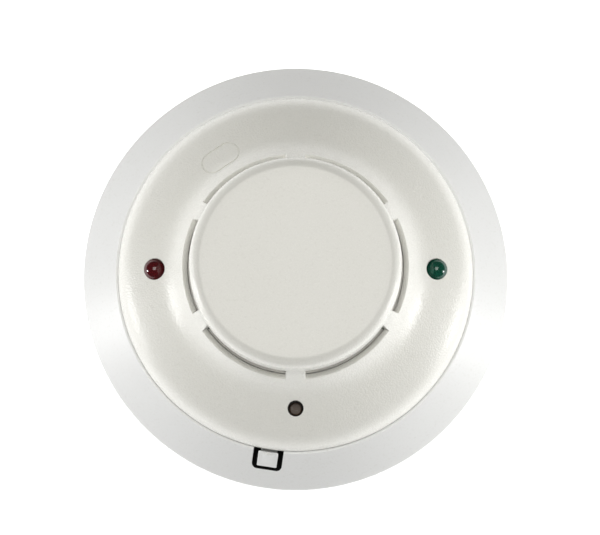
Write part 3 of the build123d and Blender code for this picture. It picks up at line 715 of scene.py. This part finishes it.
# %% Lenses and label
def tinted_acrylic(name, colour, shade):
    """Clear tinted acrylic with a hazy skin."""
    material, tree, bsdf = shader(name)
    haze = grouped(tree, surface_age, Size=1.6)
    tree.links.new(
        mix_colour(tree, haze.outputs["Cloud"], colour, shade),
        bsdf.inputs["Base Color"],
    )
    tree.links.new(spread(tree, haze.outputs["Cloud"], 0.1, 0.16), bsdf.inputs["Roughness"])
    links = {"Height": haze.outputs["Cloud"], "Distance": 0.012 * MM, "Strength": 1.0}
    bump = add(tree, "ShaderNodeBump", links)
    tree.links.new(bump.outputs["Normal"], bsdf.inputs["Normal"])
    bsdf.inputs["IOR"].default_value = 1.49
    bsdf.inputs["Specular IOR Level"].default_value = 0.35
    bsdf.inputs["Transmission Weight"].default_value = 0.6
    bsdf.inputs["Coat Weight"].default_value = 0.2
    bsdf.inputs["Coat Roughness"].default_value = 0.05
    return material


red_lens_acrylic = tinted_acrylic("red_lens_acrylic", (0.13, 0.0006, 0.003), (0.19, 0.001, 0.006))
green_lens_acrylic = tinted_acrylic("green_lens_acrylic", (0.0015, 0.12, 0.07), (0.003, 0.16, 0.1))
label_film = moulded("label_film", (0.84, 0.84, 0.82), (0.80, 0.80, 0.78), 0.15, 0.003, 0.3, 0.04)
print("lenses 2, label 1")

# %% [markdown]
# ## The outer cover
# The cover is one moulding: a skirt that drops into the base, a round shoulder, a sloping
# plateau with the lenses, a steep collar, and a cap that stands on six ribs over the air vents.
# It could be carved out of a solid, but a moulding is a shell, so its outside and its inside are
# turned as two skins. The vents are opened in both, and the rims are bridged between them.


# %% Turn the two skins of the cover
def corner_arc(radius, height, corner, steps):
    """Quarter round from an upright wall to a flat top."""
    angles = [radians(90 * step / steps) for step in range(steps + 1)]
    return [(radius - corner + corner * cos(a), height - corner + corner * sin(a)) for a in angles]


def cap_line(foot, radius, top, corner):
    """The cap's wall, its rounded edge and its flat top, from its foot to the axis."""
    arc = corner_arc(radius, top, corner, 9)
    flat = [(arc[-1][0] * share, top) for share in (0.86, 0.68, 0.48, 0.28, 0.1, 0.0)]
    return [foot] + arc + flat


cover = bmesh.new()
outside_line.insert(0, (SKIRT_RADIUS, SKIRT_BOTTOM))
inside_line.insert(0, (SKIRT_INNER, SKIRT_BOTTOM))
rib_top = (RIB_TOP_RADIUS, RIB_TOP_HEIGHT)
inner_foot = (CAP_FOOT_RADIUS - CAP_WALL - 0.2, CAP_FOOT_HEIGHT)
outside = turn(cover, outside_line + cap_line(rib_top, CAP_RADIUS + 0.05, CAP_TOP, CAP_CORNER))
inner_cap = cap_line(inner_foot, CAP_RADIUS - CAP_WALL, CAP_TOP - CAP_WALL, CAP_CORNER - CAP_WALL)
inside = turn(cover, inside_line + inner_cap)
print("outside", len(outside), "faces, inside", len(inside), "faces")

# %% [markdown]
# ## The vents
# Six vents lie between the ribs. The squares of the band between collar and cap are deleted
# except at the ribs. Then the cap's wall is drawn down to its foot, the ribs are widened towards
# their feet so that they leave the tool, and the rims are closed.


# %% Open the vents
RIB_HALF_ANGLE = 4.5
rib_angles = [30 + 60 * index for index in range(6)]


def from_rib(point):
    """Signed angle, in degrees, from the nearest rib."""
    angle = degrees(atan2(point.y, point.x)) % 360
    return min(((angle - rib + 180) % 360 - 180 for rib in rib_angles), key=abs)


def in_vent(face, low, high):
    """Whether a face lies in the band between two heights and away from the ribs."""
    centre = face.calc_center_median()
    inside_band = low < centre.z / MM < high and hypot(centre.x, centre.y) / MM < COLLAR_RADIUS
    return inside_band and abs(from_rib(centre)) > RIB_HALF_ANGLE


def at_height(edge, height):
    """Whether an edge lies level at a height."""
    return all(abs(vert.co.z / MM - height) < 0.01 for vert in edge.verts)


inner_edge = inside_line[-1]
doomed = [face for face in outside if in_vent(face, COLLAR_HEIGHT, RIB_TOP_HEIGHT)]
doomed += [face for face in inside if in_vent(face, inner_edge[1], CAP_FOOT_HEIGHT)]
bmesh.ops.delete(cover, geom=doomed, context="FACES")
outside = [face for face in outside if face.is_valid]
inside = [face for face in inside if face.is_valid]
open_edges = [edge for edge in cover.edges if edge.is_boundary]
before = set(cover.verts)
bmesh.ops.extrude_edge_only(
    cover,
    edges=[edge for edge in open_edges if at_height(edge, RIB_TOP_HEIGHT)],
)
for vert in [vert for vert in cover.verts if vert not in before]:
    stretch = CAP_FOOT_RADIUS * MM / hypot(vert.co.x, vert.co.y)
    vert.co = Vector((vert.co.x * stretch, vert.co.y * stretch, CAP_FOOT_HEIGHT * MM))
print("deleted", len(doomed), "squares for six vents")

# %% Draft the ribs
RIB_TOP_HALF = 2.88
RIB_DRAFT = 0.15


def draft(bm):
    """Set the ends of each vent on the drafted sides of the ribs."""
    for edge in [edge for edge in bm.edges if edge.is_boundary]:
        for vert in edge.verts:
            height = vert.co.z / MM
            angle = from_rib(vert.co)
            if height < SKIRT_BOTTOM + 1 or abs(abs(angle) - RIB_HALF_ANGLE) > 0.01:
                continue
            radius = hypot(vert.co.x, vert.co.y) / MM
            half_width = RIB_TOP_HALF + (RIB_TOP_HEIGHT - height) * RIB_DRAFT
            wanted = degrees(asin(half_width / radius))
            shift = (wanted - RIB_HALF_ANGLE) * (1 if angle > 0 else -1)
            vert.co = Matrix.Rotation(radians(shift), 3, "Z") @ vert.co


draft(cover)


def bridge_rims(bm, first_height, second_height):
    """Close the rim between two level rows of open edges, one vent at a time."""
    open_edges = [edge for edge in bm.edges if edge.is_boundary]
    for rib in rib_angles:
        middle = radians(rib + 30)
        near = []
        for edge in open_edges:
            centre = (edge.verts[0].co + edge.verts[1].co) / 2
            off = (atan2(centre.y, centre.x) - middle + pi) % (2 * pi) - pi
            level = at_height(edge, first_height) or at_height(edge, second_height)
            if level and abs(off) < radians(30):
                near.append(edge)
        bmesh.ops.bridge_loops(bm, edges=near)


bridge_rims(cover, COLLAR_HEIGHT, inner_edge[1])
bridge_rims(cover, CAP_FOOT_HEIGHT, CAP_FOOT_HEIGHT)
rib_sides = [edge for edge in cover.edges if edge.is_boundary and not at_height(edge, SKIRT_BOTTOM)]
filled = bmesh.ops.holes_fill(cover, edges=rib_sides, sides=8)
# This call should close the skirt's lower rim, a ring 2 mm wide. It pairs the two loops wrongly,
# so most of its faces lie flat across the cover's open mouth. Known fault, left open: the rim
# should be turned with the skirt instead.
bmesh.ops.bridge_loops(cover, edges=[edge for edge in cover.edges if edge.is_boundary])
print(
    "rib sides filled",
    len(filled["faces"]),
    "open edges left",
    sum(e.is_boundary for e in cover.edges),
)

# %% Lens holes and the test hole
LENS_RECESS_RADIUS = 3.85
LENS_BORE_RADIUS = 3.55
LENS_SEAT = 26.6
BOSS_BOTTOM = 22.8
LENS_BOSS_RADIUS = 5.4
HOLE_BORE_RADIUS = 2.8
HOLE_BORE_BOTTOM = 23.0
HOLE_BOSS_RADIUS = 4.6
skins = ((outside, outside_line), (inside, inside_line))
for angle in (0, 180):
    rings = [
        (LENS_RECESS_RADIUS, LENS_SEAT),
        (LENS_BORE_RADIUS, LENS_SEAT),
        (LENS_BORE_RADIUS, BOSS_BOTTOM),
    ]
    skins = tuple(([face for face in faces if face.is_valid], line) for faces, line in skins)
    bore(cover, skins, LENS_AXIS, angle, rings, LENS_BOSS_RADIUS)
skins = tuple(([face for face in faces if face.is_valid], line) for faces, line in skins)
bore(cover, skins, HOLE_AXIS, 270, [(HOLE_BORE_RADIUS, HOLE_BORE_BOTTOM)], HOLE_BOSS_RADIUS)
print("faces with the holes", len(cover.faces))

# %% [markdown]
# ## The witness line of the insert
# Beside the cap a long round-ended line shows where an insert meets the tool. It is a groove
# under half a millimetre deep, so it is modelled: four rings make its two walls and its floor,
# and smaller rings carry the skin on to the middle.

# %% The insert's witness line
INSERT_RADIUS = 47.6
INSERT_ANGLE = 124.0
INSERT_LENGTH = 14.6
INSERT_WIDTH = 8.2
GROOVE_DEPTH = 0.4
INSERT_MARGIN = 0.9
INSERT_STEPS = (
    (0.14, GROOVE_DEPTH),
    (0.76, GROOVE_DEPTH),
    (0.9, 0.0),
    (2.4, 0.0),
    (4.4, 0.0),
    (6.4, 0.0),
)


def insert_ring(shrink, depth):
    """Ring that follows the insert's outline, smaller by a width and at a depth."""
    ring = oblong_ring(
        cover,
        INSERT_RADIUS,
        INSERT_ANGLE,
        INSERT_LENGTH - shrink,
        INSERT_WIDTH - shrink,
        64,
    )
    settle(ring, outside_line, depth)
    return ring


outside = [face for face in outside if face.is_valid]
rim = clear_patch(
    cover,
    outside,
    INSERT_RADIUS,
    INSERT_ANGLE,
    INSERT_WIDTH / 2 + INSERT_MARGIN,
    INSERT_LENGTH / 2 + INSERT_MARGIN,
)
ring = insert_ring(0.0, 0.0)
join_rim(cover, rim, ring)
for shrink, depth in INSERT_STEPS:
    smaller = insert_ring(shrink, depth)
    bmesh.ops.bridge_loops(cover, edges=loop_edges(ring) + loop_edges(smaller))
    ring = smaller
bmesh.ops.holes_fill(cover, edges=loop_edges(ring), sides=0)
print("faces with the witness line", len(cover.faces))

# %% Round the edges and finish the cover


def vent_edge(edge):
    """Sharp edges round the vents and ribs."""
    centre = (edge.verts[0].co + edge.verts[1].co) / 2 / MM
    near_axis = hypot(centre.x, centre.y) < COLLAR_RADIUS + 0.6
    at_vents = inner_edge[1] - 1 < centre.z < RIB_TOP_HEIGHT + 0.3
    return near_axis and at_vents and edge.calc_face_angle(0) > radians(33)


bmesh.ops.recalc_face_normals(cover, faces=cover.faces)
softened = soften(cover, vent_edge, 0.16)
print("softened", softened, "edges")
outer_cover = finish_piece(
    cover,
    "cover_shell",
    cover_plastic,
    "head",
    "cover_plastic",
    "outer_cover",
)

# %% [markdown]
# ## The lenses
# A lens is turned from its half section: a pocket for the lamp, a flange that stops it behind
# the boss, a plain stem and a low dome. The dome is an arc, drawn from its height and radius.

# %% Turn the lenses
LENS_STEM = 3.5
LENS_SHOULDER = 22.8
LENS_FLANGE_RADIUS = (lens_high.x - lens_low.x) / 2 / MM
LENS_FOOT = lens_low.z / MM
DOME_TOP = lens_high.z / MM
LENS_HEAD = 3.72
POCKET_RADIUS = 2.4
POCKET_TOP = 23.6


def dome(radius, foot, top, steps):
    """Points of an arc from the edge of a low dome to its middle."""
    height = top - foot
    ball = (radius * radius + height * height) / (2 * height)
    widest = asin(min(1.0, radius / ball))
    angles = [widest * (1 - step / steps) for step in range(steps + 1)]
    return [(ball * sin(a), top - ball + ball * cos(a)) for a in angles]


def lens(name, material, slot, side):
    """One light pipe on its side of the cover."""
    bm = bmesh.new()
    section = dome(POCKET_RADIUS, LENS_FOOT, POCKET_TOP, 8)[::-1]
    section += [
        (LENS_FLANGE_RADIUS, LENS_FOOT),
        (LENS_FLANGE_RADIUS, LENS_SHOULDER),
        (LENS_STEM, LENS_SHOULDER),
    ]
    section += [(LENS_STEM, LENS_SEAT + 0.06), (LENS_HEAD, LENS_SEAT + 0.06)]
    section += dome(LENS_HEAD, LENS_SEAT + 0.2, DOME_TOP, 14)
    turn(bm, section, 64, (side * LENS_AXIS, 0))
    return finish_piece(bm, name, material, "head", slot, slot.replace("_acrylic", ""))


lens("red_light_pipe", red_lens_acrylic, "red_lens_acrylic", -1)
lens("green_light_pipe", green_lens_acrylic, "green_lens_acrylic", 1)

# %% [markdown]
# ## The tamper lever
# A finger is moulded with the base and ends in a square tab in a window of the flange. Its
# edges are bevelled, and a small wedge on it points to the middle. The blocks are made along
# X, sheared to the slope of the flange, softened, and turned to the lever's place at the end.

# %% Shape the tamper lever
LEVER_ANGLE = 261.4
LEVER_ROOT = 46.0
LEVER_BOTTOM = 2.6
LEVER_TOP = 4.2
FLANGE_SLOPE = 11.0 / 12.6
TAB_MIDDLE = 67.2
TAB_MIDDLE_HEIGHT = 3.0 + (77.5 - TAB_MIDDLE) * FLANGE_SLOPE
lever = bmesh.new()


def lever_block(length, width, height, place, slope, width_of_edge):
    """Block at a place along the lever, sheared to a slope, with softened edges."""
    made = bmesh.ops.create_cube(lever, size=MM)["verts"]
    bmesh.ops.scale(lever, vec=(length, width, height), verts=made)
    for vert in made:
        vert.co.z -= vert.co.x * slope
    bmesh.ops.translate(lever, vec=Vector(place) * MM, verts=made)
    edges = list({edge for vert in made for edge in vert.link_edges})
    bmesh.ops.bevel(
        lever,
        geom=edges,
        offset=width_of_edge * MM,
        offset_type="OFFSET",
        segments=3,
        profile=0.5,
        affect="EDGES",
        material=-1,
    )


FINGER_SIZE = (20.0, 6.0, 1.6)
TOOTH_SIZE = (2.0, 5.0, 2.4)
TOOTH_PLACE = (60.4, 0, 4.0)
RISER_SIZE = (1.4, 6.0, 9.4)
RISER_PLACE = (65.3, 0, 7.4)
TAB_SIZE = (5.2, 7.1, 2.3)
LEVER_EDGE = 0.2
TAB_EDGE = 0.34
finger_middle = (LEVER_BOTTOM + LEVER_TOP) / 2
finger_place = (LEVER_ROOT + FINGER_SIZE[0] / 2, 0, finger_middle)
tab_place = (TAB_MIDDLE, 0, TAB_MIDDLE_HEIGHT - TAB_SIZE[2] / 2)
lever_block(*FINGER_SIZE, finger_place, 0, LEVER_EDGE)
lever_block(*TOOTH_SIZE, TOOTH_PLACE, 0, LEVER_EDGE)
lever_block(*RISER_SIZE, RISER_PLACE, 0, LEVER_EDGE)
lever_block(*TAB_SIZE, tab_place, FLANGE_SLOPE, TAB_EDGE)
WEDGE_LENGTH = 3.8
WEDGE_WIDTH = 4.6
WEDGE_HEIGHT = 1.3
WEDGE_LEAN = 1.4
WEDGE_LIFT = 0.55
# Makes the square foot of a four-sided cone of radius 1 one unit wide.
UNIT_SQUARE = 0.7071
wedge = bmesh.ops.create_cone(
    lever,
    cap_ends=True,
    segments=4,
    radius1=MM,
    radius2=0.001 * MM,
    depth=MM,
)["verts"]
bmesh.ops.rotate(lever, verts=wedge, cent=(0, 0, 0), matrix=Matrix.Rotation(radians(45), 3, "Z"))
bmesh.ops.scale(
    lever,
    vec=(WEDGE_LENGTH * UNIT_SQUARE, WEDGE_WIDTH * UNIT_SQUARE, WEDGE_HEIGHT),
    verts=wedge,
)
for vert in wedge:
    if vert.co.z > 0:
        vert.co.x -= WEDGE_LEAN * MM
    vert.co.z -= vert.co.x * FLANGE_SLOPE
bmesh.ops.translate(
    lever,
    vec=Vector((TAB_MIDDLE, 0, TAB_MIDDLE_HEIGHT + WEDGE_LIFT)) * MM,
    verts=wedge,
)
bmesh.ops.rotate(
    lever,
    verts=lever.verts,
    cent=(0, 0, 0),
    matrix=Matrix.Rotation(radians(LEVER_ANGLE), 3, "Z"),
)
finish_piece(lever, "tamper_tab", base_plastic, "tamper_lever", "base_plastic", "tamper_lever")

# %% [markdown]
# ## Camera, floor and light
# The detector lies on its back. The camera looks straight down at it, tipped a few degrees
# towards the test hole. Two small lamps stand low at the left and the right, which is what makes
# the pebbled edges sparkle, and a wide soft lamp overhead fills the middle.

# %% Camera
scene = bpy.context.scene
CAMERA_TILT = radians(6.5)
CAMERA_DISTANCE = 0.70
camera_data = bpy.data.cameras.new("camera")
camera = bpy.data.objects.new("camera", camera_data)
scene.collection.objects.link(camera)
scene.camera = camera
camera_data.lens = 115
camera_data.sensor_width = 36
camera_data.clip_start = 0.01
aim = Vector((0.00155, 0.00335, 0.003))
camera.location = aim + CAMERA_DISTANCE * Vector((0, -sin(CAMERA_TILT), cos(CAMERA_TILT)))
camera.rotation_euler = (CAMERA_TILT, 0, 0)
print("camera", [round(number, 3) for number in camera.location])


# %% Lamps
def lamp(name, place, size, power, colour=(1, 1, 1)):
    """Square area lamp that faces the middle of the detector."""
    data = bpy.data.lights.new(name, "AREA")
    data.shape = "SQUARE"
    data.size = size
    data.energy = power
    data.color = colour
    lit = bpy.data.objects.new(name, data)
    scene.collection.objects.link(lit)
    lit.location = place
    lit.rotation_euler = (Vector((0, 0, 0.02)) - Vector(place)).to_track_quat("-Z", "Y").to_euler()
    return lit


def lamp_place(azimuth, height, distance):
    """Place of a lamp from its bearing and its height above the horizon, both in degrees."""
    level = distance * cos(radians(height))
    return (
        level * cos(radians(azimuth)),
        level * sin(radians(azimuth)),
        distance * sin(radians(height)),
    )


lamp("lamp_left", lamp_place(190, 11, 0.6), 0.12, 1.3, (1.0, 1.0, 1.0))
lamp("lamp_right", lamp_place(-15, 13, 0.42), 0.10, 0.68, (1.0, 1.0, 0.995))
lamp("lamp_above", (0, 0.10, 1.08), 0.6, 5.4, (1.0, 0.985, 0.93))

world = bpy.data.worlds.new("studio")
scene.world = world
world.use_nodes = True
world.node_tree.nodes["Background"].inputs["Color"].default_value = (0.97, 0.98, 1.0, 1)
world.node_tree.nodes["Background"].inputs["Strength"].default_value = 0.15
scene.view_settings.view_transform = "Standard"


# %% Floor
def floor_paper():
    """White paper that glows outside the detector, with painted shade under it: near-black paper that
    stands in for the shadow seen through the base's windows and gaps.
    """
    material, tree, bsdf = shader("floor_paper")
    bsdf.inputs["Roughness"].default_value = 0.9
    grain = grouped(tree, mould_grain, Size=2.0, Fine=0.5)
    place = add(tree, "ShaderNodeTexCoord").outputs["Object"]
    reach = add(tree, "ShaderNodeVectorMath", {0: place}, operation="LENGTH").outputs["Value"]
    glow_and_shade_mask = add(tree, "ShaderNodeMapRange", {"Value": reach, "From Min": 0.0765, "From Max": 0.078})
    paper = mix_colour(tree, grain.outputs["Gloss"], (0.90, 0.90, 0.90), (0.88, 0.88, 0.88))
    # Painted shade: inside the detector's outline the paper is near black and does not glow, standing
    # in for the shadow under the base.
    paper_with_painted_shade = mix_colour(tree, glow_and_shade_mask.outputs["Result"], (0.01, 0.01, 0.01), paper)
    tree.links.new(paper_with_painted_shade, bsdf.inputs["Base Color"])
    white = mix_colour(tree, glow_and_shade_mask.outputs["Result"], (0, 0, 0), (1.0, 1.0, 1.0))
    tree.links.new(white, bsdf.inputs["Emission Color"])
    bsdf.inputs["Emission Strength"].default_value = 1.0
    return material


sheet = bmesh.new()
bmesh.ops.create_grid(sheet, x_segments=8, y_segments=8, size=2.0)
floor_mesh = bpy.data.meshes.new("floor")
sheet.to_mesh(floor_mesh)
sheet.free()
floor = bpy.data.objects.new("floor", floor_mesh)
scene.collection.objects.link(floor)
floor_mesh.materials.append(floor_paper())

# %% [markdown]
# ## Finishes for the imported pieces
# The record names a finish for every node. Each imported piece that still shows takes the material
# of that name, so the strips, screws, board and parts are all dressed in one pass.

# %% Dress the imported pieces
slot_of = {part["node"]: part["material_slot"] for part in frame["record"]["subparts"]}
for name, node in frame["nodes"].items():
    node.data.materials[0] = bpy.data.materials[slot_of[name]]
print("dressed", len(slot_of), "nodes in", len(set(slot_of.values())), "finishes")
